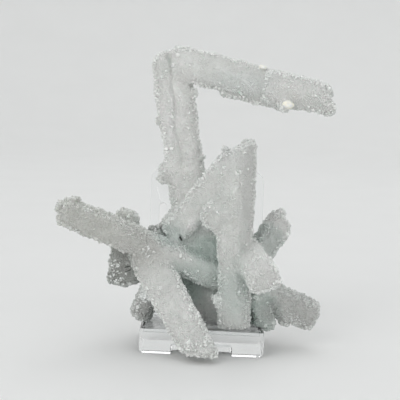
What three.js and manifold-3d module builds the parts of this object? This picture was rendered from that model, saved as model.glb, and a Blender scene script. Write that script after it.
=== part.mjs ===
// A finger prehnite specimen on a clear acrylic stand.
// Millimetres, +Z up, +X to the right and +Y to the back. The origin is the centre of the underside
// of the stand's block. The cluster is one solid: long square fingers that cross and grow through
// each other, crusted with small blocky crystals. It stands on the block and leans on the back plate.
import * as THREE from "three";
import { mergeVertices } from "three/addons/utils/BufferGeometryUtils.js";
import Module from "manifold-3d";

// ---------------------------------------------------------------- driving dimensions: the stand
const GAP = 0.3;
const BLOCK = { wide: 50.8, deep: 36, tall: 10, foot: 2, arris: 0.5 };
const RECESS = { wide: 25, deep: 7, tall: 3.6, corner: 3 };
const PLATE = { wide: 49, tall: 69, thick: 3, corner: 4.5, lean: 11.3 };
const PLATE_FOOT = { y: 11, z: 4.5 };
const SLOT = { wide: 3.4, out: 19, from: 12, to: 54 };

// ---------------------------------------------------------------- driving dimensions: the fingers
// Each finger runs from one end to the other. "wide" is its width across, "deep" its size front to
// back, and "turn" a twist about its own length, in degrees. A cut slants an end: [sideways, front].
const FINGERS = {
  tall_left: {
    from: [-22, 8, 121], to: [-9.7, 9.4, 52], wide: 7.4, deep: 9.5, form: "slab", turn: -12,
    cuts: [[-0.4, 0], [0, 0]],
  },
  tall_right: {
    from: [-15.2, 8, 123], to: [-3.6, 9.4, 52], wide: 9.4, deep: 11, form: "ridged", turn: 6,
    taper: [0.85, 1],
  },
  tall_root: {
    from: [-10.4, 11.6, 80], to: [1.4, 4.6, 33.5], wide: 16.6, deep: 14, form: "slab", turn: 3,
    taper: [0.78, 1.08],
  },
  top_beam: {
    from: [-16.5, 8, 118.8], to: [47, -4, 105.8], wide: 14.6, deep: 12, form: "beam", turn: 0,
    taper: [1, 0.88],
  },
  top_beam_end: {
    from: [22, -1.5, 110.2], to: [47.8, -5, 105.7], wide: 13, deep: 12.4, form: "ridged", turn: 14,
    cuts: [[0, 0], [-0.5, 0.1]], taper: [1, 0.88],
  },
  top_beam_ledge: {
    from: [4.5, 6, 109.2], to: [31, 1, 103.3], wide: 6.4, deep: 7.5, form: "slab", turn: -15,
  },
  centre: {
    from: [12.4, -7, 84.6], to: [12.4, -10, 38], wide: 14.6, deep: 13.6, form: "edge_on", turn: 4,
    cuts: [[-0.4, 0.1], [0, 0.1]],
  },
  centre_root: {
    from: [11.8, -8.4, 50], to: [13.9, -10, 9], wide: 14, deep: 12.4, form: "edge_on", turn: -14,
  },
  cross_left: {
    from: [9.8, -5, 77.8], to: [-13.8, 2, 45.1], wide: 12, deep: 11, form: "slab", turn: 10,
    cuts: [[0, 0], [0.25, 0]],
  },
  stub_front: {
    from: [9.6, -4, 59.4], to: [3.7, -13.2, 54.6], wide: 14, deep: 13, form: "ridged", turn: 25,
  },
  stub_bright: {
    from: [16.4, -2, 41.2], to: [24.3, -24.5, 33.3], wide: 12.6, deep: 12.4, form: "ridged", turn: -20,
  },
  long_cross: {
    from: [-58.6, -12, 56.4], to: [47.4, 5.8, 13], wide: 11.4, deep: 10.8, form: "slab", turn: 12,
    taper: [0.9, 1.1],
  },
  front_leg: {
    from: [-24.2, -4.6, 38.1], to: [-0.7, -29.8, 4], wide: 14.4, deep: 11.4, form: "ridged", turn: 0,
    cuts: [[0.7, 0], [0.5, 0.55]], taper: [1.02, 0.85],
  },
  right_back: {
    from: [19.6, -4, 36.9], to: [32.4, 14, 52.2], wide: 10.8, deep: 10, form: "slab", turn: 20,
    cuts: [[0, 0], [0.6, 0]], taper: [0.86, 0.98],
  },
  left_back: {
    from: [-33.3, 1, 55.2], to: [-35.6, 1, 25.2], wide: 8.6, deep: 8.4, form: "ridged", turn: 30,
  },
  left_back_knob: {
    from: [-30.4, 0, 39], to: [-31.4, 0, 26.2], wide: 9, deep: 8.6, form: "slab", turn: 15,
  },
  left_foot: {
    from: [-20.6, -8.5, 27.4], to: [-26.2, -1.5, 11.9], wide: 8, deep: 8, form: "ridged", turn: 10,
  },
  back_foot_left: {
    from: [-5.6, 5, 39.5], to: [-3.4, 4.5, 10], wide: 12.4, deep: 8.6, form: "slab", turn: -8,
    taper: [1, 0.88],
  },
  back_foot_right: {
    from: [2.6, 3, 38], to: [6.4, 2, 9.4], wide: 8.8, deep: 8, form: "slab", turn: 12,
  },
  right_foot: {
    from: [22, -3, 22.5], to: [26.5, -5, 9], wide: 8.8, deep: 8.2, form: "ridged", turn: -15,
  },
  dark_spur: {
    from: [-10.5, 6, 55.5], to: [-17.5, 6, 44.5], wide: 8.4, deep: 8, form: "slab", turn: 20,
  },
  small_spur: {
    from: [-18, -1, 43], to: [-22.5, 3, 47.8], wide: 4.6, deep: 4.6, form: "slab", turn: 30,
  },
  side_knob: {
    from: [-12, 9, 71.5], to: [-20, 8, 72], wide: 9.2, deep: 8, form: "ridged", turn: 0,
  },
};
const RING_STEP = 9;
const RING_JOG = 0.3 * RING_STEP;
const EDGE_ROUND = 1.7;
const EDGE_SHARE = 0.3;
const SWELL = 0.035;
const RIPPLE = 0.4;
// Each end steps in: how far from the end, the sizes there and at the end, and its low middle point.
const END = { inset: 0.9, inner: 0.97, size: 0.8, tip: 0.5 };

// Outlines of a finger's section in half widths: [sideways, front], in order round the section.
const FORMS = {
  slab: [[0.86, 1], [-0.9, 0.94], [-1, -0.86], [0.94, -1]],
  ridged: [[1, 0.52], [0.1, 1.04], [-1, 0.6], [-0.94, -0.84], [0.9, -1]],
  edge_on: [[0.06, 1.04], [-1, 0.6], [-0.88, -0.66], [0.3, -1], [1, -0.05]],
  beam: [[1, 0.22], [-0.2, 1], [-0.74, 0.82], [-1, 0.1], [-0.62, -0.92], [0.7, -1]],
};

// ---------------------------------------------------------------- driving dimensions: small growths
// Single lumps that stand out: where, and their size along X, Y and Z.
const LUMPS = [
  { at: [30, -7.4, 103], size: [5, 4, 3] },
  { at: [20, 0, 116.9], size: [2.6, 2.2, 2.2] },
  { at: [-8.2, 6, 106], size: [3, 3, 3.4] },
  { at: [-20.6, 8.5, 93.5], size: [2.2, 1.6, 3.4] },
  { at: [6.6, -6.6, 83.2], size: [1.6, 1.6, 2] },
  { at: [-3.2, 6.2, 79], size: [2.2, 2, 2.2] },
  { at: [6.6, -10.5, 21], size: [2.8, 3, 6] },
  { at: [-17.2, -19.4, 26], size: [3, 2.4, 2.4] },
  { at: [-4, -33.4, 7], size: [3, 2.4, 2.6] },
  { at: [-54, -11.5, 60], size: [3.6, 4, 2.4] },
  { at: [-59, -12, 57.4], size: [2.4, 4, 3.4] },
  { at: [-38.6, -1.5, 28], size: [3, 3, 3.4] },
  { at: [35, 2, 12.6], size: [4.6, 4, 3.6] },
];
const PITS = [
  { at: [-11.6, 3.6, 76.5], size: [2, 2.4, 3] },
  { at: [4.8, -12.4, 63.5], size: [1.6, 3, 2.6] },
  { at: [6.2, -13, 67.5], size: [1.4, 3, 3] },
  { at: [1.4, -9.5, 62], size: [1.6, 3, 1.6] },
  { at: [-10.6, -2.6, 45.4], size: [2, 3, 1.8] },
  { at: [35, 11.8, 54.2], size: [4, 6, 4.6] },
];
const CRUST = { smallest: 1.2, largest: 2.3, sunk: 0.3, per_mm: 0.125, least: 3, at_ends: 0.3 };
const CRYSTAL_TOP = { smallest: 0.62, largest: 0.92 };

// ---------------------------------------------------------------- making the shapes
const ARC_STEPS = 4;
const SQUARE = 0.01;
const OVERSHOOT = 5;
const MERGE = 1e-4;

// ---------------------------------------------------------------- helpers
const wasm = await Module();
wasm.setup();

// A repeatable stream of numbers from 0 to 1.
function stream(seed) {
  let state = seed >>> 0;
  return () => {
    state = (state + 0x6d2b79f5) >>> 0;
    let t = state;
    t = Math.imul(t ^ (t >>> 15), t | 1);
    t ^= t + Math.imul(t ^ (t >>> 7), t | 61);
    return ((t ^ (t >>> 14)) >>> 0) / 4294967296;
  };
}

function solid(geometry) {
  const bare = geometry.clone();
  bare.deleteAttribute("normal");
  bare.deleteAttribute("uv");
  const merged = mergeVertices(bare, MERGE);
  return new wasm.Manifold(
    new wasm.Mesh({
      numProp: 3,
      vertProperties: new Float32Array(merged.attributes.position.array),
      triVerts: new Uint32Array(merged.index.array),
    }),
  );
}

function geometryOf(manifold) {
  const mesh = manifold.getMesh();
  const geometry = new THREE.BufferGeometry();
  geometry.setAttribute("position", new THREE.BufferAttribute(mesh.vertProperties, 3));
  geometry.setIndex(new THREE.BufferAttribute(mesh.triVerts, 1));
  const flat = geometry.toNonIndexed();
  flat.computeVertexNormals();
  return flat;
}

function roundedRect(wide, tall, corners) {
  const [lowLeft, lowRight, highRight, highLeft] = corners;
  const x = wide / 2;
  const shape = new THREE.Shape();
  shape.moveTo(-x + lowLeft, 0);
  shape.lineTo(x - lowRight, 0);
  shape.absarc(x - lowRight, lowRight, lowRight, -Math.PI / 2, 0);
  shape.lineTo(x, tall - highRight);
  shape.absarc(x - highRight, tall - highRight, highRight, 0, Math.PI / 2);
  shape.lineTo(-x + highLeft, tall);
  shape.absarc(-x + highLeft, tall - highLeft, highLeft, Math.PI / 2, Math.PI);
  shape.lineTo(-x, lowLeft);
  shape.absarc(-x + lowLeft, lowLeft, lowLeft, Math.PI, Math.PI * 1.5);
  return shape;
}

// ---------------------------------------------------------------- the fingers
// The axes of a finger: along it, across it, and out to the front.
function axesOf(finger) {
  const from = new THREE.Vector3(...finger.from);
  const to = new THREE.Vector3(...finger.to);
  const along = to.clone().sub(from);
  const length = along.length();
  along.normalize();
  const front = new THREE.Vector3(0, -1, 0);
  front.addScaledVector(along, -front.dot(along)).normalize();
  front.applyAxisAngle(along, THREE.MathUtils.degToRad(finger.turn));
  const side = new THREE.Vector3().crossVectors(front, along);
  return { from, along, side, front, length };
}

// The section's points, two at each corner.
function sectionOf(finger) {
  const half = [finger.wide / 2, finger.deep / 2];
  const corners = FORMS[finger.form].map(([s, f]) => new THREE.Vector2(s * half[0], f * half[1]));
  const points = [];
  corners.forEach((corner, i) => {
    const next = corners[(i + 1) % corners.length];
    const before = corners[(i + corners.length - 1) % corners.length];
    const back = before.clone().sub(corner);
    const ahead = next.clone().sub(corner);
    const cut = Math.min(EDGE_ROUND, back.length() * EDGE_SHARE, ahead.length() * EDGE_SHARE);
    points.push(corner.clone().addScaledVector(back.normalize(), cut));
    points.push(corner.clone().addScaledVector(ahead.clone().normalize(), cut));
  });
  return points;
}

// Rings of points along a finger, each a little swollen and rippled, with its ends rounded in.
function ringsOf(finger, seed) {
  const random = stream(seed);
  const { from, along, side, front, length } = axesOf(finger);
  const section = sectionOf(finger);
  const cuts = finger.cuts ?? [[0, 0], [0, 0]];
  const taper = finger.taper ?? [1, 1];
  const steps = Math.max(2, Math.round(length / RING_STEP));
  const stations = [{ at: 0, size: END.size }, { at: END.inset, size: END.inner }];
  for (let i = 1; i < steps; i += 1) {
    const jog = (random() - 0.5) * RING_JOG;
    stations.push({ at: (i / steps) * length + jog, size: 1 + (random() - 0.5) * 2 * SWELL });
  }
  stations.push({ at: length - END.inset, size: END.inner }, { at: length, size: END.size });
  const reach = finger.wide;
  return stations.map(({ at, size }) => {
    const fades = [Math.max(0, 1 - at / reach), Math.max(0, 1 - (length - at) / reach)];
    return section.map((point) => {
      const slide = cuts.reduce(
        (sum, [s, f], end) => sum + fades[end] * (point.x * s + point.y * f),
        0,
      );
      const narrow = THREE.MathUtils.lerp(taper[0], taper[1], at / length);
      const grow = size * narrow * (1 + ((random() - 0.5) * 2 * RIPPLE) / point.length());
      return from
        .clone()
        .addScaledVector(along, at + slide)
        .addScaledVector(side, point.x * grow)
        .addScaledVector(front, point.y * grow);
    });
  });
}

// A closed tube through the rings, with a low point at the middle of each end.
function tubeGeometry(rings) {
  const count = rings[0].length;
  const points = rings.flat();
  const faces = [];
  for (let r = 0; r + 1 < rings.length; r += 1) {
    for (let i = 0; i < count; i += 1) {
      const a = r * count + i;
      const b = r * count + ((i + 1) % count);
      faces.push([a, b, b + count], [a, b + count, a + count]);
    }
  }
  const ends = [[0, 1, false], [rings.length - 1, rings.length - 2, true]];
  ends.forEach(([end, inner, last]) => {
    const middle = new THREE.Vector3();
    rings[end].forEach((p) => middle.addScaledVector(p, 1 / count));
    const inside = new THREE.Vector3();
    rings[inner].forEach((p) => inside.addScaledVector(p, 1 / count));
    middle.addScaledVector(middle.clone().sub(inside).normalize(), END.tip);
    const tip = points.push(middle) - 1;
    for (let i = 0; i < count; i += 1) {
      const a = end * count + i;
      const b = end * count + ((i + 1) % count);
      faces.push(last ? [a, b, tip] : [b, a, tip]);
    }
  });
  const geometry = new THREE.BufferGeometry().setFromPoints(points);
  geometry.setIndex(faces.flat());
  return geometry;
}

function fingerSolid(rings) {
  const made = solid(tubeGeometry(rings));
  if (made.volume() > 0) return made;
  return solid(tubeGeometry([...rings].reverse()));
}

// A blocky crystal: a box with a smaller top, leaning any way.
function crystalSolid(at, size, random) {
  const geometry = new THREE.BoxGeometry(1, 1, 1);
  const position = geometry.attributes.position;
  const taper = THREE.MathUtils.lerp(CRYSTAL_TOP.smallest, CRYSTAL_TOP.largest, random());
  for (let i = 0; i < position.count; i += 1) {
    if (position.getZ(i) > 0) position.setXY(i, position.getX(i) * taper, position.getY(i) * taper);
  }
  geometry.scale(...size);
  const turn = 2 * Math.PI;
  const lean = new THREE.Euler(random() * turn, random() * turn, random() * turn);
  geometry.applyMatrix4(new THREE.Matrix4().makeRotationFromEuler(lean));
  geometry.translate(...at);
  return solid(geometry);
}

// Crystals along a finger's corners and round its ends.
function crustOf(finger, rings, seed) {
  const random = stream(seed);
  const { length } = axesOf(finger);
  const crystals = [];
  const count = Math.round(length * CRUST.per_mm) + CRUST.least;
  for (let i = 0; i < count; i += 1) {
    const atEnd = random() < CRUST.at_ends;
    const row = atEnd ? (random() < 0.5 ? 0 : rings.length - 1) : Math.floor(random() * rings.length);
    const ring = rings[row];
    const place = Math.floor(random() * ring.length);
    const next = rings[Math.min(row + 1, rings.length - 1)][place];
    const at = ring[place].clone().lerp(next, random());
    const middle = new THREE.Vector3();
    ring.forEach((p) => middle.addScaledVector(p, 1 / ring.length));
    const base = CRUST.smallest + (CRUST.largest - CRUST.smallest) * random() ** 2;
    at.addScaledVector(middle.sub(at).normalize(), CRUST.sunk * base);
    const size = [base, base * (0.6 + 0.4 * random()), base * (0.8 + 0.4 * random())];
    crystals.push(crystalSolid(at.toArray(), size, random));
  }
  return crystals;
}

function clusterSolid(stand) {
  const parts = [];
  Object.values(FINGERS).forEach((finger, i) => {
    const rings = ringsOf(finger, 100 + i);
    parts.push(fingerSolid(rings), ...crustOf(finger, rings, 500 + i));
  });
  const random = stream(9);
  LUMPS.forEach(({ at, size }) => parts.push(crystalSolid(at, size, random)));
  const pits = PITS.map(({ at, size }) => crystalSolid(at, size, random));
  return wasm.Manifold.union(parts).subtract(wasm.Manifold.union([...pits, ...stand]));
}

// ---------------------------------------------------------------- the stand
function blockSolid(grow) {
  const shape = roundedRect(BLOCK.wide + 2 * grow, BLOCK.tall + grow, [
    BLOCK.foot, BLOCK.foot, BLOCK.arris, BLOCK.arris,
  ]);
  const geometry = new THREE.ExtrudeGeometry(shape, {
    depth: BLOCK.deep + 2 * grow, bevelEnabled: false, curveSegments: ARC_STEPS,
  });
  geometry.rotateX(Math.PI / 2);
  geometry.translate(0, BLOCK.deep / 2 + grow, 0);
  return solid(geometry);
}

function recessSolid() {
  const depth = RECESS.deep + OVERSHOOT;
  const shape = roundedRect(RECESS.wide, depth, [SQUARE, SQUARE, RECESS.corner, RECESS.corner]);
  const geometry = new THREE.ExtrudeGeometry(shape, {
    depth: RECESS.tall + OVERSHOOT, bevelEnabled: false, curveSegments: ARC_STEPS,
  });
  geometry.translate(0, -BLOCK.deep / 2 - OVERSHOOT, -OVERSHOOT);
  return solid(geometry);
}

// The back plate, grown by a clearance, with or without its two slots.
function plateSolid(grow, slotted) {
  const corners = [SQUARE, SQUARE, PLATE.corner, PLATE.corner];
  const shape = roundedRect(PLATE.wide + 2 * grow, PLATE.tall + 2 * grow, corners);
  if (slotted) {
    [-1, 1].forEach((hand) => {
      const x = hand * SLOT.out;
      const r = SLOT.wide / 2;
      const hole = new THREE.Path();
      hole.moveTo(x + r, SLOT.from);
      hole.lineTo(x + r, SLOT.to - r);
      hole.absarc(x, SLOT.to - r, r, 0, Math.PI);
      hole.lineTo(x - r, SLOT.from);
      hole.absarc(x, SLOT.from, r, Math.PI, 2 * Math.PI);
      shape.holes.push(hole);
    });
  }
  const geometry = new THREE.ExtrudeGeometry(shape, {
    depth: PLATE.thick + 2 * grow, bevelEnabled: false, curveSegments: ARC_STEPS,
  });
  geometry.translate(0, -grow, -PLATE.thick / 2 - grow);
  geometry.rotateX(Math.PI / 2 - THREE.MathUtils.degToRad(PLATE.lean));
  geometry.translate(0, PLATE_FOOT.y, PLATE_FOOT.z);
  return solid(geometry);
}

// ---------------------------------------------------------------- the model
const acrylic = { color: 0xdfe6e8, roughness: 0.08, metalness: 0, transparent: true, opacity: 0.35 };

function mesh(name, manifold, material) {
  const made = new THREE.Mesh(geometryOf(manifold), new THREE.MeshStandardMaterial(material));
  made.name = name;
  return made;
}

const specimen = new THREE.Group();
const block = blockSolid(0).subtract(recessSolid()).subtract(plateSolid(GAP, false));
const plate = plateSolid(0, true);
const cluster = clusterSolid([blockSolid(GAP), plateSolid(GAP, false)]);
specimen.add(mesh("prehnite_cluster", cluster, { color: 0xc3cdc6, roughness: 0.55, metalness: 0 }));
specimen.add(mesh("stand_block", block, acrylic));
specimen.add(mesh("stand_back_plate", plate, acrylic));

export default specimen;
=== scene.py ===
import math

import bmesh
import bpy
import numpy as np
from mathutils import Matrix, Vector, noise
from mathutils.bvhtree import BVHTree


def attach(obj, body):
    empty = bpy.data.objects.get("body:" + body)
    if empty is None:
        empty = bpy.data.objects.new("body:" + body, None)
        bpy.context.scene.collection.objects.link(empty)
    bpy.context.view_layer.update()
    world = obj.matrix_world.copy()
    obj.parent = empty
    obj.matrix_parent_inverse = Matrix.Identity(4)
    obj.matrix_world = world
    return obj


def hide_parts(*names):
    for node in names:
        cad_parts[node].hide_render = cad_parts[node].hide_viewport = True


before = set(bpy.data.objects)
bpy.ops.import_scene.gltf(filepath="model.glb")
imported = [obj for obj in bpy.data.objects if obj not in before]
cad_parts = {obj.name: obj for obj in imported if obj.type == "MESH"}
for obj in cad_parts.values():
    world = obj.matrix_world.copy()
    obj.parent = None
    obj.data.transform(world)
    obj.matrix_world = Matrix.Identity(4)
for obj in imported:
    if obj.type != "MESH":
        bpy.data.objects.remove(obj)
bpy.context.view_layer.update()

MM = 0.001
# Keeps a division from having nothing under it.
TINY = 1e-6
CLUSTER = "prehnite_cluster"
# The pieces of the stand, and which way the main faces look on the leaning plate, which is cut from sheet.
STAND = {"stand_block": None, "stand_back_plate": (0, -0.981, 0.196)}
SEED = 20

# ---------------------------------------------------------------- the camera
# A long lens from the front, a little above the middle and rolled a little.
AIM = Vector((-3.05, 0.0, 61.56)) * MM
DISTANCE = 470 * MM
ELEVATION = math.radians(6.0)
ROLL = math.radians(2.4)
# Sensor width and focal length are the camera's own millimetres, and the clipping is in metres.
SENSOR = 36.0
LENS = 101.25
CLIP = (0.01, 20)

# ---------------------------------------------------------------- the body
BODY_VOXEL = 0.62 * MM
# A round is one step of blurring over the mesh, so more rounds reach further.
SOFTEN_ROUNDS = 3
FILL_ROUNDS = 14
MELT_ROUNDS = 60
ROUNDING_ROUNDS = 25
BROAD_ROUNDS = 50
# How much a corner takes part where hollows are filled, and the step that counts as a full hollow.
FILL_CONVEX = 0.06
HOLLOW_STEP = 0.02 * MM
# What the crust adds to the softened solid: an even growth, lumps and grain.
GROWTH = 0.25 * MM
LUMP_HEIGHT = 0.22 * MM
LUMP_SIZE = 4.5 * MM
GRAIN_HEIGHT = 0.12 * MM
GRAIN_SIZE = 1.1 * MM
# How sharp a corner is, in millimetres: where it starts to count, and where it counts in full.
CORNER_RANGE = (0.2, 1.0)
CORNER_NORMAL_ROUNDS = 6
# How much higher the lumps are along a corner.
EDGE_LUMPS = 1.6

# Places here and below are in millimetres. A place is full within this part of its reach.
PLACE_CORE = 0.6
# Seams that the crust has grown right over: where, and how far round it.
MELTS = {(-10, 3, 113): 11, (-9, 3, 78): 9, (12.4, -15, 50): 8, (22, -2, 108): 11, (-4, 1, 47): 11,
         (-12, -9, 37): 8, (-20, -10.5, 42): 7}
# Ends and corners that are rounded off: where, and how far round it.
ROUNDED = {(-33.3, 0, 56): 8, (-22, 8, 120): 6, (45.5, 4.5, 13.5): 9, (-16, 9, 72): 7, (13.4, -12, 10): 9,
           (26.5, -6, 10): 7}
# The groove down the tall column, and a small pit lower down: line, half width and depth.
GROOVES = (
    {"line": ((-18.9, 2, 121), (-17.5, 2, 115.6), (-17.0, 2, 110.3), (-15.8, 2, 103.9), (-15.1, 3, 99.1),
              (-15.3, 3, 95.6), (-14.4, 3, 89.6), (-12.8, 3, 86.1), (-12.2, 4, 80.2), (-10.9, 4, 77.1)),
     "wide": 1.35, "deep": 1.0},
    {"line": ((-10.7, -4, 46.3), (-10.0, -4, 44.7)), "wide": 1.1, "deep": 1.8},
)
# The part of the half width that is a groove's floor, and how far from its line, to the front or the
# back, it still cuts.
GROOVE_FLOOR = 0.1
GROOVE_REACH = 6
# How far a groove wanders off its line, and the seeds of its wandering sideways and in height.
GROOVE_WAVE = 0.5
GROOVE_WAVE_SIZE = 3 * MM
GROOVE_WAVE_OFFSETS = (11.3, 23.9)
# Its depth is this much of the whole, give or take the second number.
GROOVE_UNEVEN = (0.75, 0.5)
GROOVE_UNEVEN_SIZE = 5 * MM
GROOVE_UNEVEN_OFFSET = 31.7
# It cuts where the surface faces the front: from this much, and in full from that much.
GROOVE_FACING = (0.1, 0.5)
# Painted shade: how much a spot's tone deepens, darker and greener, where fingers shut it in, and for each
# millimetre of a groove.
SHUT_SHADE = 0.75
GROOVE_SHADE = 0.22

# Painted light and shade: zones whose tone is deeper (above 0, painted shade) or paler (below 0, painted
# light) than how shut in they are makes them.
LIGHT_AND_SHADE_ZONE_CORE = 0.5
LIGHT_AND_SHADE_ZONES = (
    # The left back finger.
    {"at": (-35, 1, 34), "reach": (11, 11, 15), "add": 1.25},
    # The left one of the two back feet.
    {"at": (-7.5, 5, 24), "reach": (10, 8, 19), "add": 0.60},
    # The left foot.
    {"at": (-24, -4, 19), "reach": (10, 10, 13), "add": 0.54},
    # The right foot.
    {"at": (25, -4, 15), "reach": (10, 10, 11), "add": 0.52},
    # The right back finger.
    {"at": (25, 6, 43), "reach": (11, 12, 14), "add": 0.30},
    # The tall column's root.
    {"at": (-3, 1, 50), "reach": (11, 10, 10), "add": -0.50},
    # The bright stub at the front.
    {"at": (22, -20, 36), "reach": (11, 14, 11), "add": -0.16},
    # The tall column.
    {"at": (-12, 3, 95), "reach": (11, 9, 40), "add": -0.40},
    # The right flank of the centre finger's root.
    {"at": (19, -10, 20), "reach": (8, 9, 12), "add": -0.12},
    # The hollow left of the finger that crosses in front of the column.
    {"at": (-7, 2, 70), "reach": (9, 8, 12), "add": -0.35},
    # The front of the beam's right end.
    {"at": (29.6, -9, 108), "reach": (10, 8, 6), "add": -0.35},
    # The hollow between the front leg and the centre finger.
    {"at": (2.9, -7, 30), "reach": (6, 8, 10), "add": -0.45},
    # The tall column's root again, close to its front.
    {"at": (-3.5, -3, 51.5), "reach": (6, 8, 6), "add": -0.40},
    # The front leg's right flank.
    {"at": (-6, -22, 21), "reach": (6, 7, 12), "add": -0.30},
)

# Stretches with few crystals that stand out: where, and how far round it.
PLAIN = {(19, -12, 40): 11, (23, -21, 36): 8, (-33.3, -3, 56): 6, (-5, -9, 37): 9, (3, -8, 35): 8}

# Patches of bright crystals: centre, reach and how dense.
SPARKLE_CORE = 0.4
SPARKLES = (
    {"at": (-24.5, -8, 23.5), "reach": 6, "add": 5.0},
    {"at": (-31.5, -4, 17), "reach": 4, "add": 6.0},
    {"at": (-29, -5, 11), "reach": 3.5, "add": 3.0},
    {"at": (-27, -7, 16), "reach": 2, "add": 2.0},
    {"at": (6.6, -10, 21), "reach": 6, "add": 3.0},
    {"at": (-36, -1, 25), "reach": 7, "add": 1.2},
    {"at": (-37.5, -2, 33), "reach": 4, "add": 2.0},
    {"at": (37, -1, 12.5), "reach": 5, "add": 1.2},
    {"at": (42, 2, 10), "reach": 5, "add": 1.0},
    {"at": (-59, -13, 50), "reach": 4, "add": 1.5},
    {"at": (-8, -6, 30), "reach": 5, "add": 1.5},
    {"at": (7, -10, 62), "reach": 5, "add": 1.0},
    {"at": (25, -26, 29), "reach": 6, "add": 0.4},
    {"at": (-24, -12, 40), "reach": 3, "add": 2.0},
    {"at": (-52, -11, 60), "reach": 7, "add": 0.5},
)

# ---------------------------------------------------------------- how far a spot is shut in
SHUT_DIRECTIONS = 44
SHUT_REACH = 26 * MM
SHUT_BLUR_ROUNDS = 10
SHUT_POINT_ROUNDS = 2
SHUT_NORMAL_ROUNDS = 4
# Directions whose cosine with the surface's normal is under this are left out.
SHUT_GRAZING = 0.15

# ---------------------------------------------------------------- the crystal crust
# "wide" is the half width, and the half height is "tall" times it. "sunk" is the part of the half height
# that the centre lies below the surface. "lean" is how far they lean, "edge_growth" how much they grow
# along corners.
CRUSTS = {
    "grain": {"count": 56000, "wide": (0.30 * MM, 0.54 * MM), "tall": (0.38, 0.66), "sunk": 0.22,
              "lean": 0.22, "edge_growth": 0.45},
    "blocks": {"count": 12500, "wide": (0.30 * MM, 0.76 * MM), "tall": (0.8, 1.3), "sunk": 0.25,
               "lean": 0.45, "edge_growth": 0.60},
    "clear": {"count": 3500, "wide": (0.28 * MM, 0.62 * MM), "tall": (0.8, 1.4), "sunk": 0.15,
              "lean": 0.45, "edge_growth": 0.55},
    "bright": {"count": 900, "wide": (0.28 * MM, 0.60 * MM), "tall": (0.7, 1.2), "sunk": 0.15,
               "lean": 0.50, "edge_growth": 0.20},
}
# A crystal's second side is at least this part of its first.
NARROWEST = 0.62
# Where corners, flanks and undersides start to count, and where they count in full.
EDGE_RANGE = (0.1, 0.9)
FLANK_RANGE = (0.28, 0.70)
UNDER_RANGE = (0.1, 0.8)
# Patches all over the surface where blocks and clear crystals crowd, and smaller ones of bright crystals.
PATCHES = {"range": (-0.1, 0.5), "size": 7 * MM, "offset": 3.7}
BRIGHT_PATCHES = {"range": (0.2, 0.6), "size": 5 * MM, "offset": 9.1}
# How dense each kind is on flat faces and between the patches, where 1 is the density on flanks or corners.
GRAIN_ON_FACES = 0.7
BLOCKS_ON_FACES = 0.02
BLOCKS_BETWEEN_PATCHES = 0.5
CLEAR_ON_FACES = 0.003
CLEAR_BETWEEN_PATCHES = 0.2
CLEAR_UNDERNEATH = 0.6
BRIGHT_ON_FACES = 0.04
BRIGHT_ALL_OVER = 0.5
# How much a crystal's corners are out of true.
CORNER_SHIFT = 0.25
# Rounds of blurring after which a normal tells a finger's front from its flanks.
FACING_ROUNDS = 12
# The fine grain is one piece for each band of height, which starts here.
BANDS = {"foot": 0.0, "lower": 26 * MM, "middle": 48 * MM, "upper": 76 * MM, "beam": 102 * MM}

# ---------------------------------------------------------------- places with a look of their own
# Cream lumps: centre, half sizes, and turn about the front axis in degrees.
CREAM_LUMPS = (
    {"at": (31.0, -10.4, 103.0), "half": (2.4, 1.7, 1.7), "turn": 12},
    {"at": (20.4, -1.0, 117.7), "half": (1.7, 1.4, 0.9), "turn": 15},
)
CREAM_UNEVEN = 0.2
CREAM_UNEVEN_SIZE = 0.9
CREAM_OFFSET = 5.0
CREAM_POINTS = 400
# No crystals within the first number of half sizes of a lump, and as many as usual from the second.
CREAM_CLEARANCE = (1.2, 2.2)
# Dark needles: their two ends and half width. The last one is stout and fills the floor of the pit: a dark
# piece put there as painted shade.
NEEDLE_SHOULDERS = (0.15, 0.85)
NEEDLES = (
    {"from": (-33.4, -4.3, 32.4), "to": (-30.6, -5.3, 33.4), "half": 0.17},
    {"from": (-33.1, -4.4, 30.6), "to": (-30.4, -5.3, 31.9), "half": 0.12},
    {"from": (-10.8, -3.9, 46.4), "to": (-9.9, -3.9, 44.5), "half": 0.42},
)
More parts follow.
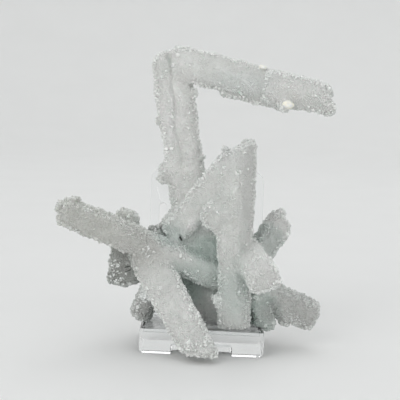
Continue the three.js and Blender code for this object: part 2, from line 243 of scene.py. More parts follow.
# Stretches with colours of their own, which hold painted shade and painted light as well as the stone's own
# tone:
# full within a part of the reach, none beyond it. "share" is how much of the colour in the middle is the
# stretch's.
SHADE_AND_TINT_CORE = 0.4
SHADE_AND_TINTS = (
    # The long finger's left half: its own yellowish grey, with painted shade that dims it.
    {"at": (-58.6, -12, 56.4), "reach": (46, 46, 46), "share": 0.8, "colour": (0.495, 0.500, 0.455, 1)},
    # The long finger where the front leg leaves it.
    {"at": (-27, -12, 42), "reach": (15, 11, 14), "share": 0.8, "colour": (0.478, 0.478, 0.448, 1)},
    # The centre finger's right flank, in painted shade: it faces away from the key light.
    {"at": (17, -8, 66), "reach": (8, 13, 36), "share": 0.8, "colour": (0.615, 0.620, 0.598, 1)},
    # Painted shade, greener and darker, where the tall column's root meets the long finger.
    {"at": (0, -2, 41.5), "reach": (11, 10, 9), "share": 0.85, "colour": (0.430, 0.525, 0.480, 1)},
    # The tall column's root, painted lighter: painted light where the fingers shut it in.
    {"at": (-3, 0, 52), "reach": (7, 8, 6), "share": 0.85, "colour": (0.780, 0.820, 0.795, 1)},
    # The beam.
    {"at": (10, -6, 110.5), "reach": (20, 12, 9), "share": 0.6, "colour": (0.650, 0.685, 0.665, 1)},
    # The centre finger's top.
    {"at": (8.5, -6, 81), "reach": (12, 12, 10), "share": 0.6, "colour": (0.690, 0.705, 0.690, 1)},
    # The tall column along its groove, painted lighter: painted light.
    {"at": (-16, 3, 95), "reach": (6, 9, 18), "share": 0.6, "colour": (0.870, 0.875, 0.855, 1)},
    # Painted shade on the spur beside the tall column's root.
    {"at": (-15, -4, 46), "reach": (10, 10, 8), "share": 0.85, "colour": (0.470, 0.530, 0.500, 1)},
    # Painted shade in the hollow between the front leg and the centre finger.
    {"at": (0, -6, 31), "reach": (17, 10, 11), "share": 0.75, "colour": (0.560, 0.650, 0.605, 1)},
    # The centre finger's root.
    {"at": (13.5, -15, 26), "reach": (12, 10, 16), "share": 0.75, "colour": (0.570, 0.638, 0.598, 1)},
    # Painted shade on the left foot.
    {"at": (-26.5, -6, 18), "reach": (11, 11, 14), "share": 0.85, "colour": (0.400, 0.395, 0.380, 1)},
    # Painted shade on the left back finger, which lies behind the others.
    {"at": (-35, -1, 30), "reach": (14, 14, 14), "share": 0.8, "colour": (0.210, 0.215, 0.195, 1)},
    # The right back finger's top.
    {"at": (31, 10, 55), "reach": (8, 8, 8), "share": 0.8, "colour": (0.690, 0.690, 0.670, 1)},
    # Painted shade on the right back finger.
    {"at": (24.5, 3, 45), "reach": (11, 11, 10), "share": 0.8, "colour": (0.400, 0.430, 0.408, 1)},
    # Painted shade on the right foot.
    {"at": (27.5, -4, 15.5), "reach": (8, 9, 8), "share": 0.85, "colour": (0.350, 0.372, 0.350, 1)},
    # The long finger's right end.
    {"at": (47, 4, 15), "reach": (21, 21, 21), "share": 0.8, "colour": (0.440, 0.445, 0.425, 1)},
    # Painted shadow on the small spur, which lies deep behind the long finger.
    {"at": (-22.5, 2, 47.4), "reach": (6, 6, 6), "share": 0.9, "colour": (0.160, 0.160, 0.150, 1)},
)


def start_camera():
    """The camera, which looks at its aim from the front."""
    right = Vector((1, 0, 0))
    ahead = Vector((0, math.cos(ELEVATION), -math.sin(ELEVATION)))
    up = Vector((0, math.sin(ELEVATION), math.cos(ELEVATION)))
    rolled_right = right * math.cos(ROLL) + up * math.sin(ROLL)
    rolled_up = up * math.cos(ROLL) - right * math.sin(ROLL)
    data = bpy.data.cameras.new("camera")
    data.sensor_width = SENSOR
    data.lens = LENS
    data.clip_start, data.clip_end = CLIP
    camera = bpy.data.objects.new("camera", data)
    turn = Matrix((rolled_right, rolled_up, -ahead)).transposed()
    camera.matrix_world = Matrix.Translation(AIM - ahead * DISTANCE) @ turn.to_4x4()
    bpy.context.scene.collection.objects.link(camera)
    bpy.context.scene.camera = camera


# ---------------------------------------------------------------- mesh helpers
def object_of(name, mesh):
    made = bpy.data.objects.new(name, mesh)
    bpy.context.scene.collection.objects.link(made)
    return made


def read_points(mesh):
    points = np.empty(len(mesh.vertices) * 3, np.float32)
    mesh.vertices.foreach_get("co", points)
    return points.reshape(-1, 3).astype(float)


def read_normals(mesh):
    normals = np.empty(len(mesh.vertices) * 3, np.float32)
    mesh.vertex_normals.foreach_get("vector", normals)
    return normals.reshape(-1, 3).astype(float)


def read_edges(mesh):
    edges = np.empty(len(mesh.edges) * 2, np.int32)
    mesh.edges.foreach_get("vertices", edges)
    return edges.reshape(-1, 2)


def read_triangles(mesh):
    mesh.calc_loop_triangles()
    corners = np.empty(len(mesh.loop_triangles) * 3, np.int32)
    mesh.loop_triangles.foreach_get("vertices", corners)
    return corners.reshape(-1, 3)


def write_points(mesh, points):
    mesh.vertices.foreach_set("co", points.astype(np.float32).ravel())
    mesh.update()


def write_value(mesh, name, values):
    layer = mesh.attributes.new(name, "FLOAT", "POINT")
    layer.data.foreach_set("value", values.astype(np.float32))


def triangle_mesh(name, points, triangles):
    mesh = bpy.data.meshes.new(name)
    mesh.vertices.add(len(points))
    mesh.vertices.foreach_set("co", points.astype(np.float32).ravel())
    mesh.loops.add(triangles.size)
    mesh.loops.foreach_set("vertex_index", triangles.astype(np.int32).ravel())
    mesh.polygons.add(len(triangles))
    mesh.polygons.foreach_set("loop_start", np.arange(0, triangles.size, 3, dtype=np.int32))
    mesh.update(calc_edges=True)
    mesh.shade_flat()
    return mesh


def blurred(values, edges, rounds):
    """Each point's value moves halfway to the mean of its neighbours', so many times."""
    count = np.bincount(edges.ravel(), minlength=len(values))
    values = values.reshape(len(count), -1).copy()
    for _ in range(rounds):
        for column in range(values.shape[1]):
            ends = values[edges, column]
            total = np.bincount(edges[:, 0], ends[:, 1], len(count))
            total += np.bincount(edges[:, 1], ends[:, 0], len(count))
            values[:, column] += 0.5 * (total / count - values[:, column])
    return values


def tree_of(mesh):
    return BVHTree.FromPolygons([v.co for v in mesh.vertices], read_triangles(mesh).tolist())


def smooth_step(low, high, values):
    part = np.clip((values - low) / (high - low), 0, 1)
    return part * part * (3 - 2 * part)


def at_least(least, share):
    """The share, squeezed so that it runs from its least to 1."""
    return least + (1 - least) * share


def away_from(points, place, reach):
    """How far each point is from a place, as a share of the reach."""
    return np.linalg.norm((points / MM - place) / reach, axis=1)


def near_places(points, places):
    """1 within the core of each named place, falling to 0 at its reach."""
    result = np.zeros(len(points))
    for place, reach in places.items():
        result = np.maximum(result, 1 - smooth_step(PLACE_CORE, 1.0, away_from(points, place, reach)))
    return result


def noise_at(points, size, offset=0.0):
    """Soft noise from about -1 to 1, with features of that size."""
    scaled = points / size + offset
    return np.array([noise.noise(Vector(point)) for point in scaled])


def domes_at(points, size):
    """1 at the middle of each rounded cell and 0 where cells meet."""
    scaled = points / size
    return np.array([1 - min(1.0, noise.voronoi(Vector(point))[0][0]) for point in scaled])


# ---------------------------------------------------------------- the body
def even_mesh(name, node):
    """A copy of a node's solid with small triangles that are all about one size."""
    copy = object_of("rough_body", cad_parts[node].data.copy())
    remesh = copy.modifiers.new("even", "REMESH")
    remesh.mode = "VOXEL"
    remesh.voxel_size = BODY_VOXEL
    graph = bpy.context.evaluated_depsgraph_get()
    mesh = bpy.data.meshes.new_from_object(copy.evaluated_get(graph))
    bpy.data.objects.remove(copy)
    mesh.name = name
    return mesh


def body_mesh():
    """The cluster's fine skin: its faces are softened and then made uneven again."""
    mesh = even_mesh("prehnite_body", CLUSTER)
    edges = read_edges(mesh)
    write_points(mesh, blurred(read_points(mesh), edges, SOFTEN_ROUNDS))
    fill_hollows(mesh, FILL_ROUNDS, np.ones(len(mesh.vertices)))
    fill_hollows(mesh, MELT_ROUNDS, near_places(read_points(mesh), MELTS))
    rounding = near_places(read_points(mesh), ROUNDED)[:, None]
    for _ in range(ROUNDING_ROUNDS):
        points = read_points(mesh)
        write_points(mesh, points + rounding * (blurred(points, edges, 1) - points))
    points = read_points(mesh)
    normals = read_normals(mesh)
    corner = smooth_step(*CORNER_RANGE, edge_sharpness(mesh))
    points -= normals * (MM * groove_depth(points, normals))[:, None]
    lift = LUMP_HEIGHT * (1 + EDGE_LUMPS * corner) * noise_at(points, LUMP_SIZE)
    lift += GRAIN_HEIGHT * (domes_at(points, GRAIN_SIZE) - 0.5) + GROWTH
    write_points(mesh, points + normals * lift[:, None])
    mesh.shade_smooth()
    return mesh


def fill_hollows(mesh, rounds, share):
    """Rounds the seams where fingers meet, as a crust that grows over them does, and keeps corners.

    The share says how much each point takes part.
    """
    edges = read_edges(mesh)
    for _ in range(rounds):
        points = read_points(mesh)
        normals = read_normals(mesh)
        move = blurred(points, edges, 1) - points
        outward = np.einsum("ij,ij->i", move, normals)
        hollow = smooth_step(0.0, HOLLOW_STEP, outward)
        points += move * (share * at_least(FILL_CONVEX, hollow))[:, None]
        write_points(mesh, points)


def groove_depth(points, normals):
    """How deep the grooves cut at each point, in millimetres, where the surface faces the front."""
    result = np.zeros(len(points))
    wave = [noise_at(points, GROOVE_WAVE_SIZE, offset) for offset in GROOVE_WAVE_OFFSETS]
    flat = points[:, [0, 2]] / MM + GROOVE_WAVE * np.stack(wave, 1)
    facing = smooth_step(*GROOVE_FACING, -normals[:, 1])
    low, swing = GROOVE_UNEVEN
    uneven = low + swing * noise_at(points, GROOVE_UNEVEN_SIZE, GROOVE_UNEVEN_OFFSET)
    for groove in GROOVES:
        line = np.array(groove["line"])
        for start, end in zip(line[:-1], line[1:]):
            first = start[[0, 2]]
            last = end[[0, 2]]
            along = np.clip((flat - first) @ (last - first) / ((last - first) @ (last - first)), 0, 1)
            away = np.linalg.norm(flat - first - along[:, None] * (last - first), axis=1)
            near = np.abs(points[:, 1] / MM - start[1]) < GROOVE_REACH
            share = (1 - smooth_step(GROOVE_FLOOR, 1.0, away / groove["wide"])) * facing * near * uneven
            result = np.maximum(result, share * groove["deep"])
    return result


def sphere_directions(count):
    """Directions spread evenly all round, along a spiral."""
    steps = np.arange(count) + 0.5
    height = 1 - 2 * steps / count
    around = steps * math.pi * (3 - math.sqrt(5))
    flat = np.sqrt(1 - height**2)
    return np.stack([flat * np.cos(around), flat * np.sin(around), height], 1)


def shut_in(mesh):
    """How much of each point's view the cluster's other fingers fill: 0 is open, 1 is shut."""
    points = blurred(read_points(mesh), read_edges(mesh), SHUT_POINT_ROUNDS)
    normals = blurred(read_normals(mesh), read_edges(mesh), SHUT_NORMAL_ROUNDS)
    tree = BVHTree.FromPolygons(points.tolist(), read_triangles(mesh).tolist())
    directions = sphere_directions(SHUT_DIRECTIONS)
    facing = normals @ directions.T
    rays = [Vector(direction) for direction in directions]
    result = np.zeros(len(points))
    for i, point in enumerate(points):
        normal = Vector(normals[i]).normalized()
        start = Vector(point) + normal * BODY_VOXEL
        total = 0.0
        blocked = 0.0
        for j in np.nonzero(facing[i] > SHUT_GRAZING)[0]:
            weight = facing[i, j]
            total += weight
            distance = tree.ray_cast(start, rays[j], SHUT_REACH)[3]
            if distance is not None:
                blocked += weight * (1 - distance / SHUT_REACH)
        result[i] = blocked / max(total, TINY)
    return blurred(result, read_edges(mesh), SHUT_BLUR_ROUNDS)[:, 0]


def light_and_shade_tone(mesh, shut):
    """The tone that the stone's colour follows: painted shade where it is shut in and along its grooves,
    and painted light and shade in the named zones.
    """
    points = read_points(mesh)
    result = SHUT_SHADE * shut + GROOVE_SHADE * groove_depth(points, read_normals(mesh))
    for zone in LIGHT_AND_SHADE_ZONES:
        away = away_from(points, zone["at"], zone["reach"])
        result = result + zone["add"] * (1 - smooth_step(LIGHT_AND_SHADE_ZONE_CORE, 1.0, away))
    return result


def edge_sharpness(mesh):
    """Positive in millimetres along the fingers' corners and ends, negative in the hollows."""
    points = read_points(mesh)
    edges = read_edges(mesh)
    broad = blurred(points, edges, BROAD_ROUNDS)
    normals = blurred(read_normals(mesh), edges, CORNER_NORMAL_ROUNDS)
    normals /= np.linalg.norm(normals, axis=1)[:, None]
    return np.einsum("ij,ij->i", points - broad, normals) / MM


# ---------------------------------------------------------------- the crystals
def template_block():
    """A blocky crystal with a smaller, slanted top."""
    ring = ((-1, -1), (1, -1), (1, 1), (-1, 1))
    points = [(x, y, -1) for x, y in ring]
    points += [(0.62 * x, 0.7 * y, 1 + 0.2 * x) for x, y in ring]
    faces = [(0, 2, 1), (0, 3, 2), (4, 5, 6), (4, 6, 7)]
    for i in range(4):
        j = (i + 1) % 4
        faces += [(i, j, j + 4), (i, j + 4, i + 4)]
    return np.array(points, float), np.array(faces)


def template_point():
    """A low double pyramid, of which about half shows."""
    points = [(1, 0, 0), (0, 0.86, 0), (-1, 0, 0), (0, -0.86, 0), (0.12, 0.06, 1), (0, 0, -1)]
    faces = [(0, 1, 4), (1, 2, 4), (2, 3, 4), (3, 0, 4), (1, 0, 5), (2, 1, 5), (3, 2, 5), (0, 3, 5)]
    return np.array(points, float), np.array(faces)


def template_wedge():
    """A roof-shaped crystal."""
    points = [(-1, -0.8, -0.5), (1, -0.8, -0.5), (1, 0.8, -0.5), (-1, 0.8, -0.5)]
    points += [(-0.7, 0.1, 1), (0.7, -0.1, 1)]
    faces = [(0, 2, 1), (0, 3, 2), (0, 1, 5), (0, 5, 4), (2, 3, 4), (2, 4, 5), (1, 2, 5), (3, 0, 4)]
    return np.array(points, float), np.array(faces)


class Ground:
    """The body's surface, as what crystals grow on."""

    def __init__(self, mesh, shut, sharp):
        self.points = read_points(mesh)
        self.normals = read_normals(mesh)
        # Which way the finger faces, without its small unevenness.
        self.broad = blurred(self.normals, read_edges(mesh), FACING_ROUNDS)
        self.broad /= np.linalg.norm(self.broad, axis=1)[:, None]
        self.triangles = read_triangles(mesh)
        self.shut = shut
        self.sharp = sharp
        a, b, c = (self.points[self.triangles[:, k]] for k in range(3))
        self.areas = 0.5 * np.linalg.norm(np.cross(b - a, c - a), axis=1)
        self.stand = [tree_of(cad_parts[node].data) for node in STAND]

    def spots(self, count, wanted, random):
        """Places spread over the surface: the higher wanted is at a point, the denser."""
        weight = self.areas * wanted[self.triangles].mean(1)
        chosen = random.choice(len(weight), count, p=weight / weight.sum())
        first = np.sqrt(random.random(count))
        second = random.random(count)
        mix = np.stack([1 - first, first * (1 - second), first * second], 1)
        corners = self.triangles[chosen]

        def blend(values):
            return np.einsum("ij,ij...->i...", mix, values[corners])

        normals = blend(self.normals)
        normals /= np.linalg.norm(normals, axis=1)[:, None]
        return blend(self.points), normals, blend(self.shut), blend(self.sharp)

    def off_the_stand(self, points, reach):
        """False for each place that lies within its reach of the stand."""
        keep = np.ones(len(points), bool)
        for i, point in enumerate(points):
            keep[i] = all(tree.find_nearest(Vector(point), reach[i])[0] is None for tree in self.stand)
        return keep


def grown(form, crystals, plan, random):
    """Copies of a form on the surface, each turned and leaning its own way."""
    points, faces = form
    normals = crystals["normal"]
    sizes = crystals["size"]
    count = len(sizes)
    up = normals + plan["lean"] * random.normal(size=(count, 3))
    up /= np.linalg.norm(up, axis=1)[:, None]
    side = np.cross(up, random.normal(size=(count, 3)))
    side /= np.linalg.norm(side, axis=1)[:, None]
    other = np.cross(up, side)
    shape = points[None] * sizes[:, None, :]
    shape = shape * (1 + CORNER_SHIFT * (random.random((count, len(points), 1)) - 0.5))
    placed = shape[:, :, 0:1] * side[:, None] + shape[:, :, 1:2] * other[:, None]
    placed += shape[:, :, 2:3] * up[:, None]
    placed += (crystals["at"] - normals * (plan["sunk"] * sizes[:, 2])[:, None])[:, None]
    triangles = faces[None] + (np.arange(count) * len(points))[:, None, None]
    return placed.reshape(-1, 3), triangles.reshape(-1, 3)


def patchy(points, plan):
    """Uneven patches all over the surface, from 0 between them to 1 in them."""
    return smooth_step(*plan["range"], noise_at(points, plan["size"], plan["offset"]))


def wanted_at(ground, kind):
    """How dense a kind of crystal grows at each point of the body."""
    points = ground.points
    edge = smooth_step(*EDGE_RANGE, ground.sharp)
    if kind == "grain":
        return at_least(GRAIN_ON_FACES, edge)
    flank = smooth_step(*FLANK_RANGE, 1 - np.abs(ground.broad[:, 1]))
    for place, reach in PLAIN.items():
        flank = flank * smooth_step(PLACE_CORE, 1.0, away_from(points, place, reach))
    for lump in CREAM_LUMPS:
        flank = flank * smooth_step(*CREAM_CLEARANCE, away_from(points, lump["at"], lump["half"]))
    if kind == "blocks":
        return BLOCKS_ON_FACES + flank * at_least(BLOCKS_BETWEEN_PATCHES, patchy(points, PATCHES))
    if kind == "clear":
        under = smooth_step(*UNDER_RANGE, -ground.normals[:, 2])
        patches = at_least(CLEAR_BETWEEN_PATCHES, patchy(points, PATCHES))
        return flank * edge * (patches + CLEAR_UNDERNEATH * under) + CLEAR_ON_FACES
    wanted = BRIGHT_ALL_OVER * (flank * edge + BRIGHT_ON_FACES) * patchy(points, BRIGHT_PATCHES)
    for spot in SPARKLES:
        away = away_from(points, spot["at"], spot["reach"])
        wanted += spot["add"] * (1 - smooth_step(SPARKLE_CORE, 1.0, away))
    return wanted


def scattered(ground, kind, random):
    """Where each crystal of a kind grows, its size, the tone of its place and its luck, which is chance."""
    plan = CRUSTS[kind]
    at, normals, shut, sharp = ground.spots(plan["count"], wanted_at(ground, kind), random)
    least, most = plan["wide"]
    wide = least + (most - least) * random.random(len(at)) ** 2
    wide *= 1 + plan["edge_growth"] * smooth_step(*EDGE_RANGE, sharp)
    keep = ground.off_the_stand(at, wide)
    count = np.count_nonzero(keep)
    wide = wide[keep]
    narrow = wide * at_least(NARROWEST, random.random(count))
    short, tall = plan["tall"]
    high = wide * (short + (tall - short) * random.random(count))
    return {
        "at": at[keep],
        "normal": normals[keep],
        "size": np.stack([wide, narrow, high], 1),
        "shut": shut[keep],
        "luck": random.random(count),
    }


def pieces_of(kind, heights):
    """The names of the pieces that a kind of crystal is split into, and which crystals each one holds."""
    if kind != "grain":
        return {f"druse_{kind}": np.ones(len(heights), bool)}
    edges = list(BANDS.values()) + [math.inf]
    return {
        f"druse_grain_{band}": (heights >= low) & (heights < high)
        for band, low, high in zip(BANDS, edges[:-1], edges[1:])
    }


def crystal_piece(name, plan, forms, crystals, random):
    """One piece that holds all these crystals, each a copy of its own form."""
    points = []
    triangles = []
    shut = []
    luck = []
    offset = 0
    for number, form in enumerate(forms):
        some = {key: values[crystals["form"] == number] for key, values in crystals.items()}
        some_points, some_triangles = grown(form, some, plan, random)
        points.append(some_points)
        triangles.append(some_triangles + offset)
        shut.append(np.repeat(some["shut"], len(form[0])))
        luck.append(np.repeat(some["luck"], len(form[0])))
        offset += len(some_points)
    mesh = triangle_mesh(name, np.concatenate(points), np.concatenate(triangles))
    write_value(mesh, "shut", np.concatenate(shut))
    write_value(mesh, "luck", np.concatenate(luck))
    return object_of(name, mesh)


def crust_pieces(ground):
    """Every piece of the crust with its kind. Each kind has its own seed."""
    for index, kind in enumerate(CRUSTS):
        random = np.random.default_rng(SEED + index)
        crystals = scattered(ground, kind, random)
        forms = [template_point(), template_wedge()] if kind == "grain" else [template_block()]
        crystals["form"] = random.integers(0, len(forms), len(crystals["at"]))
        for name, inside in pieces_of(kind, crystals["at"][:, 2]).items():
            held = {key: values[inside] for key, values in crystals.items()}
            yield kind, crystal_piece(name, CRUSTS[kind], forms, held, random)


def cream_lumps():
    """Smooth, slightly uneven lumps that sit in the crust."""
    for number, lump in enumerate(CREAM_LUMPS):
        shape = bmesh.new()
        for point in sphere_directions(CREAM_POINTS):
            shape.verts.new(point)
        bmesh.ops.convex_hull(shape, input=shape.verts)
        mesh = bpy.data.meshes.new(f"cream_lump_{number}")
        shape.to_mesh(mesh)
        shape.free()
        points = read_points(mesh)
        points *= (1 + CREAM_UNEVEN * noise_at(points, CREAM_UNEVEN_SIZE, CREAM_OFFSET + number))[:, None]
        tilt = np.array(Matrix.Rotation(math.radians(lump["turn"]), 3, "Y"))
        write_points(mesh, (points * lump["half"] @ tilt.T + lump["at"]) * MM)
        mesh.shade_smooth()
        yield object_of(mesh.name, mesh)


def needles():
    """Square needles that taper at both ends."""
    for number, needle in enumerate(NEEDLES):
        start = Vector(needle["from"])
        end = Vector(needle["to"])
        along = (end - start).normalized()
        side = along.cross(Vector((0, 1, 0))).normalized()
        other = along.cross(side)
        points = [start, end]
        for share in NEEDLE_SHOULDERS:
            middle = start.lerp(end, share)
            points += [middle + needle["half"] * out for out in (side, other, -side, -other)]
        faces = []
        for i in range(4):
            j = (i + 1) % 4
            faces += [(0, 2 + j, 2 + i), (1, 6 + i, 6 + j), (2 + i, 2 + j, 6 + j), (2 + i, 6 + j, 6 + i)]
        placed = np.array([list(point * MM) for point in points])
        yield object_of(f"needle_{number}", triangle_mesh(f"needle_{number}", placed, np.array(faces)))


# ---------------------------------------------------------------- materials
PALEST = (0.780, 0.788, 0.760, 1)
WHITE = (0.880, 0.900, 0.885, 1)
CREAM = (0.860, 0.850, 0.785, 1)
NEEDLE_AND_PIT_SHADE = (0.050, 0.055, 0.048, 1)
POLISHED = (0.985, 0.992, 0.992, 1)
SAWN = (0.900, 0.920, 0.920, 1)
FLOOR = ((0.84, 0.84, 0.83, 1), (0.87, 0.87, 0.86, 1))
# Painted shade: the stone's tones, from open to shut in, darker and greener deeper in; each one fades in
# from the one before it.
SHADE_TONES = (
    {"from": -0.20, "to": 0.05, "colour": (0.711, 0.727, 0.696, 1)},
    {"from": 0.05, "to": 0.42, "colour": (0.503, 0.583, 0.540, 1)},
    {"from": 0.42, "to": 0.75, "colour": (0.310, 0.395, 0.352, 1)},
    {"from": 0.75, "to": 1.10, "colour": (0.110, 0.127, 0.102, 1)},
)
STONE_IOR = 1.62
# How far light travels in the stone in red, green and blue, before a material's own scale.
STONE_GLOW = (0.9, 1.0, 0.95)
ACRYLIC_IOR = 1.49
SAWN_ROUGHNESS = 0.30
# The cosine with a main face's normal under which a face is all sawn, and over which it is all polished.
SAWN_RANGE = (0.35, 0.75)


class Nodes:
    """A short way to make and join shader nodes."""

    def __init__(self, name):
        self.material = bpy.data.materials.new(name)
        self.material.use_nodes = True
        self.tree = self.material.node_tree
        self.tree.nodes.clear()

    def add(self, kind, values=None, **settings):
        """A node of a kind, whose sockets are set to values or joined to other nodes' sockets."""
        node = self.tree.nodes.new(kind)
        for key, value in settings.items():
            setattr(node, key, value)
        for socket, value in (values or {}).items():
            if isinstance(value, bpy.types.NodeSocket):
                self.tree.links.new(value, node.inputs[socket])
            else:
                node.inputs[socket].default_value = value
        return node

    def place(self):
        """Where a spot is in the object's own frame, in metres."""
        return self.add("ShaderNodeTexCoord").outputs["Object"]

    def attribute(self, name):
        return self.add("ShaderNodeAttribute", attribute_name=name).outputs["Fac"]

    def noise(self, size, detail=2.0, roughness=0.5):
        """Soft noise from 0 to 1, with features of that size."""
        values = {"Vector": self.place(), "Scale": 1 / size, "Detail": detail, "Roughness": roughness}
        return self.add("ShaderNodeTexNoise", values).outputs["Fac"]

    def spread(self, value, low, high, to_low=0.0, to_high=1.0):
        """The range from low to high stretched to another one, and held at its ends."""
        values = {"Value": value, "From Min": low, "From Max": high, "To Min": to_low, "To Max": to_high}
        return self.add("ShaderNodeMapRange", values).outputs["Result"]

    def mix(self, factor, first, second):
        """The first colour with that much of the second one in it."""
        node = self.add("ShaderNodeMix", data_type="RGBA")
        for socket, value in ((node.inputs[0], factor), (node.inputs[6], first), (node.inputs[7], second)):
            if isinstance(value, bpy.types.NodeSocket):
                self.tree.links.new(value, socket)
            else:
                socket.default_value = value
        return node.outputs[2]

    def math(self, operation, first, second):
        node = self.add("ShaderNodeMath", {0: first, 1: second}, operation=operation)
        return node.outputs[0]

    def near(self, place, reach, share):
        """The share in the middle of a stretch, falling to 0 at its reach along each axis."""
        offset = self.add("ShaderNodeVectorMath", {0: self.place(), 1: place}, operation="SUBTRACT")
        scaled = {0: offset.outputs["Vector"], 1: reach}
        scaled = self.add("ShaderNodeVectorMath", scaled, operation="DIVIDE").outputs["Vector"]
        away = self.add("ShaderNodeVectorMath", {0: scaled}, operation="LENGTH").outputs["Value"]
        return self.spread(away, SHADE_AND_TINT_CORE, 1.0, share, 0.0)

    def finish(self, values):
        shader = self.add("ShaderNodeBsdfPrincipled", values)
        self.add("ShaderNodeOutputMaterial", {"Surface": shader.outputs[0]})
        return self.material


def stone_colour_and_shade(nodes, lighten):
    """Pale mint, with painted shade that makes it greener and darker where the fingers shut it in, and the
    colours of the listed stretches, which hold painted light and shade too.
    """
    mottle = nodes.spread(nodes.noise(9 * MM, detail=3.0, roughness=0.55), 0.35, 0.65, -0.06, 0.06)
    shut = nodes.math("ADD", nodes.attribute("shut"), mottle)
    colour = PALEST
    for tone in SHADE_TONES:
        colour = nodes.mix(nodes.spread(shut, tone["from"], tone["to"]), colour, tone["colour"])
    for shade_and_tint in SHADE_AND_TINTS:
        share = nodes.near(Vector(shade_and_tint["at"]) * MM, Vector(shade_and_tint["reach"]) * MM, shade_and_tint["share"])
        colour = nodes.mix(share, colour, shade_and_tint["colour"])
    grain = nodes.spread(nodes.noise(0.7 * MM, detail=2.0, roughness=0.6), 0.3, 0.7, 0.0, 0.16)
    colour = nodes.mix(grain, colour, WHITE)
    return nodes.mix(lighten, colour, WHITE)


def body_material():
    """The skin between the crystals: tiny domes, some a little paler, with an uneven gloss."""
    nodes = Nodes("prehnite_body")
    fine = nodes.noise(0.5 * MM, detail=3.0, roughness=0.6)
    cells = nodes.add("ShaderNodeTexVoronoi", {"Vector": nodes.place(), "Scale": 1 / (0.8 * MM)})
    height = nodes.math("SUBTRACT", fine, cells.outputs["Distance"])
    bump = nodes.add("ShaderNodeBump", {"Height": height, "Strength": 0.8, "Distance": 0.3 * MM})
    lighten = nodes.spread(cells.outputs["Color"], 0.0, 1.0, 0.0, 0.22)
    return nodes.finish({
        "Base Color": stone_colour_and_shade(nodes, lighten),
        "Roughness": nodes.spread(fine, 0.3, 0.7, 0.34, 0.56),
        "IOR": STONE_IOR,
        "Subsurface Weight": 1.0,
        "Subsurface Radius": STONE_GLOW,
        "Subsurface Scale": 3.0 * MM,
        "Normal": bump.outputs[0],
    })


def grain_material():
    """The fine grain, which differs a little in tone and gloss from crystal to crystal."""
    nodes = Nodes("prehnite_grain")
    luck = nodes.attribute("luck")
    colour = stone_colour_and_shade(nodes, nodes.spread(luck, 0.0, 1.0, 0.0, 0.15))
    return nodes.finish({
        "Base Color": colour,
        "Roughness": nodes.spread(luck, 0.0, 1.0, 0.28, 0.5),
        "IOR": STONE_IOR,
        "Subsurface Weight": 0.5,
        "Subsurface Radius": STONE_GLOW,
        "Subsurface Scale": 0.3 * MM,
    })


def block_material():
    """Blocky crystals, the luckiest of them paler and glossier."""
    nodes = Nodes("prehnite_blocks")
    luck = nodes.attribute("luck")
    colour = stone_colour_and_shade(nodes, nodes.spread(luck, 0.2, 1.0, 0.1, 0.4))
    return nodes.finish({
        "Base Color": colour,
        "Roughness": nodes.spread(luck, 0.0, 1.0, 0.32, 0.12),
        "IOR": STONE_IOR,
        "Subsurface Weight": 0.6,
        "Subsurface Radius": STONE_GLOW,
        "Subsurface Scale": 0.5 * MM,
    })


def clear_material():
    """Clearer crystals that let some light through."""
    nodes = Nodes("prehnite_clear")
    luck = nodes.attribute("luck")
    colour = stone_colour_and_shade(nodes, nodes.spread(luck, 0.0, 1.0, 0.35, 0.8))
    return nodes.finish({
        "Base Color": colour,
        "Roughness": nodes.spread(luck, 0.0, 1.0, 0.22, 0.06),
        "IOR": STONE_IOR,
        "Transmission Weight": 0.2,
    })


def bright_material():
    """White crystals with a glassy coat, which sparkle; their white is partly their own frost and partly
    painted glints.
    """
    nodes = Nodes("prehnite_bright")
    luck = nodes.attribute("luck")
    colour = nodes.mix(nodes.spread(luck, 0.0, 1.0, 0.4, 0.95), stone_colour_and_shade(nodes, 0.3), WHITE)
    return nodes.finish({
        "Base Color": colour,
        "Roughness": nodes.spread(luck, 0.0, 1.0, 0.2, 0.05),
        "IOR": STONE_IOR,
        "Coat Weight": 0.6,
        "Coat Roughness": 0.05,
    })


def cream_material():
    """A soft, slightly bumpy cream."""
    nodes = Nodes("prehnite_cream")
    fine = nodes.noise(0.8 * MM, detail=3.0, roughness=0.6)
    bump = nodes.add("ShaderNodeBump", {"Height": fine, "Strength": 0.4, "Distance": 0.2 * MM})
    return nodes.finish({
        "Base Color": CREAM,
        "Roughness": nodes.spread(fine, 0.3, 0.7, 0.4, 0.6),
        "Subsurface Weight": 1.0,
        "Subsurface Radius": (1.0, 0.95, 0.8),
        "Subsurface Scale": 0.8 * MM,
        "Normal": bump.outputs[0],
    })


def needle_material():
    """Dark and slightly glossy."""
    nodes = Nodes("dark_needle")
    roughness = nodes.spread(nodes.noise(0.5 * MM), 0.3, 0.7, 0.3, 0.5)
    return nodes.finish({"Base Color": NEEDLE_AND_PIT_SHADE, "Roughness": roughness})


def acrylic_material(name, face):
    """Polished acrylic. Where a main face is named, the sides across it are greyer and less polished."""
    nodes = Nodes(name)
    roughness = nodes.spread(nodes.noise(5 * MM, detail=4.0, roughness=0.65), 0.4, 0.75, 0.0, 0.05)
    colour = POLISHED
    if face:
        normal = nodes.add("ShaderNodeTexCoord").outputs["Normal"]
        facing = nodes.add("ShaderNodeVectorMath", {0: normal, 1: face}, operation="DOT_PRODUCT")
        turned = nodes.math("ABSOLUTE", facing.outputs["Value"], 0.0)
        sawn = nodes.spread(turned, *SAWN_RANGE, 1.0, 0.0)
        roughness = nodes.math("ADD", roughness, nodes.math("MULTIPLY", sawn, SAWN_ROUGHNESS))
        colour = nodes.mix(sawn, POLISHED, SAWN)
    return nodes.finish({
        "Base Color": colour,
        "Roughness": roughness,
        "IOR": ACRYLIC_IOR,
        "Transmission Weight": 1.0,
    })


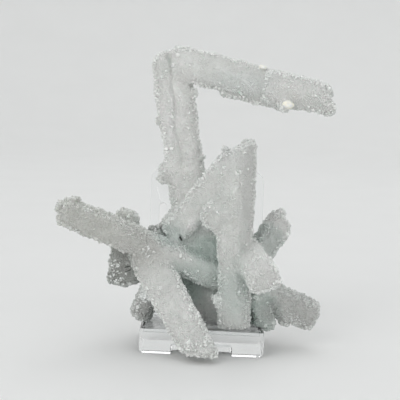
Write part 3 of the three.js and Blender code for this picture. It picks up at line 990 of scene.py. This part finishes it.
def floor_material():
    """A pale, faintly clouded matt floor."""
    nodes = Nodes("pale_floor")
    cloud = nodes.noise(60 * MM, detail=3.0, roughness=0.5)
    return nodes.finish({
        "Base Color": nodes.mix(cloud, *FLOOR),
        "Roughness": 0.75,
    })


# ---------------------------------------------------------------- the stand
# Points of a solid closer than this become one before its edges are rounded.
WELD = 0.005 * MM
POLISHED_EDGE = 0.25 * MM
EDGE_SEGMENTS = 2
EDGE_ANGLE = math.radians(40)


def dress_stand():
    """Polished acrylic with fine rounded edges on the pieces of the stand, which keep their shape."""
    for name, face in STAND.items():
        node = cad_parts[name]
        node.data.materials.clear()
        node.data.materials.append(acrylic_material(f"acrylic_{name}", face))
        weld = node.modifiers.new("weld", "WELD")
        weld.merge_threshold = WELD
        bevel = node.modifiers.new("polished_edge", "BEVEL")
        bevel.width = POLISHED_EDGE
        bevel.segments = EDGE_SEGMENTS
        bevel.limit_method = "ANGLE"
        bevel.angle_limit = EDGE_ANGLE


# ---------------------------------------------------------------- the stage
# The floor's two flat rings, the radius of its curve, the wall's top, and how far it lies below the block.
FLOOR_INNER = 0.3
FLOOR_FLAT = 1.2
FLOOR_CURVE = 0.9
CURVE_STEPS = 12
WALL_TOP = 2.2
FLOOR_SIDES = 96
FLOOR_BELOW = 0.05 * MM


def stage_bowl():
    """A round seamless floor that curves up into a wall on every side."""
    profile = [(FLOOR_INNER, 0.0), (FLOOR_FLAT, 0.0)]
    for step in range(1, CURVE_STEPS + 1):
        angle = step / CURVE_STEPS * math.pi / 2
        profile.append((
            FLOOR_FLAT + FLOOR_CURVE * math.sin(angle),
            FLOOR_CURVE * (1 - math.cos(angle)),
        ))
    profile.append((FLOOR_FLAT + FLOOR_CURVE, WALL_TOP))
    points = [(0.0, 0.0, -FLOOR_BELOW)]
    faces = []
    for radius, height in profile:
        for side in range(FLOOR_SIDES):
            angle = side / FLOOR_SIDES * 2 * math.pi
            points.append((radius * math.cos(angle), radius * math.sin(angle), height - FLOOR_BELOW))
    for side in range(FLOOR_SIDES):
        after = (side + 1) % FLOOR_SIDES
        faces.append((0, 1 + side, 1 + after))
        for ring in range(len(profile) - 1):
            inner = 1 + ring * FLOOR_SIDES
            outer = inner + FLOOR_SIDES
            faces.append((inner + side, outer + side, outer + after, inner + after))
    mesh = bpy.data.meshes.new("floor")
    mesh.from_pydata(points, [], faces)
    mesh.materials.append(floor_material())
    mesh.shade_smooth()
    object_of("floor", mesh)


# ---------------------------------------------------------------- the lights
# Square lamps, in metres and watts, that all look at the camera's aim.
LIGHTS = {
    "key": {"at": (-0.70, -1.15, 0.62), "size": 0.9, "watts": 6},
    "fill": {"at": (0.85, -1.15, 0.30), "size": 1.1, "watts": 2.5},
    "top": {"at": (0.15, 0.35, 1.35), "size": 0.9, "watts": 1},
    "back": {"at": (0.35, 1.20, 1.50), "size": 1.1, "watts": 4},
}
SKY = (0.96, 0.98, 1.0, 1)
SKY_STRENGTH = 0.74


def studio_lights():
    """Soft lamps round the object, in a pale even sky."""
    for name, plan in LIGHTS.items():
        data = bpy.data.lights.new(name, "AREA")
        data.size = plan["size"]
        data.energy = plan["watts"]
        light = object_of(name, data)
        light.location = plan["at"]
        light.rotation_mode = "QUATERNION"
        light.rotation_quaternion = (Vector(plan["at"]) - AIM).to_track_quat("Z", "Y")
        light.visible_camera = False
    world = bpy.data.worlds.new("studio")
    bpy.context.scene.world = world
    world.use_nodes = True
    background = world.node_tree.nodes["Background"]
    background.inputs["Color"].default_value = SKY
    background.inputs["Strength"].default_value = SKY_STRENGTH


# ---------------------------------------------------------------- the scene
start_camera()
bpy.context.scene.view_settings.view_transform = "Standard"
stage_bowl()
studio_lights()
dress_stand()

mesh = body_mesh()
# The stone's tone, with its painted light and shade, which the crystals take up as well.
shut = light_and_shade_tone(mesh, shut_in(mesh))
sharp = edge_sharpness(mesh)
write_value(mesh, "shut", shut)
body = object_of("prehnite_body", mesh)
mesh.materials.clear()
mesh.materials.append(body_material())
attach(body, "root")
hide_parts(CLUSTER)

materials = {
    "grain": grain_material(),
    "blocks": block_material(),
    "clear": clear_material(),
    "bright": bright_material(),
}
for kind, piece in crust_pieces(Ground(mesh, shut, sharp)):
    piece.data.materials.append(materials[kind])
    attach(piece, "root")

cream = cream_material()
dark = needle_material()
small_pieces = [(piece, cream) for piece in cream_lumps()] + [(piece, dark) for piece in needles()]
for piece, material in small_pieces:
    piece.data.materials.append(material)
    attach(piece, "root")
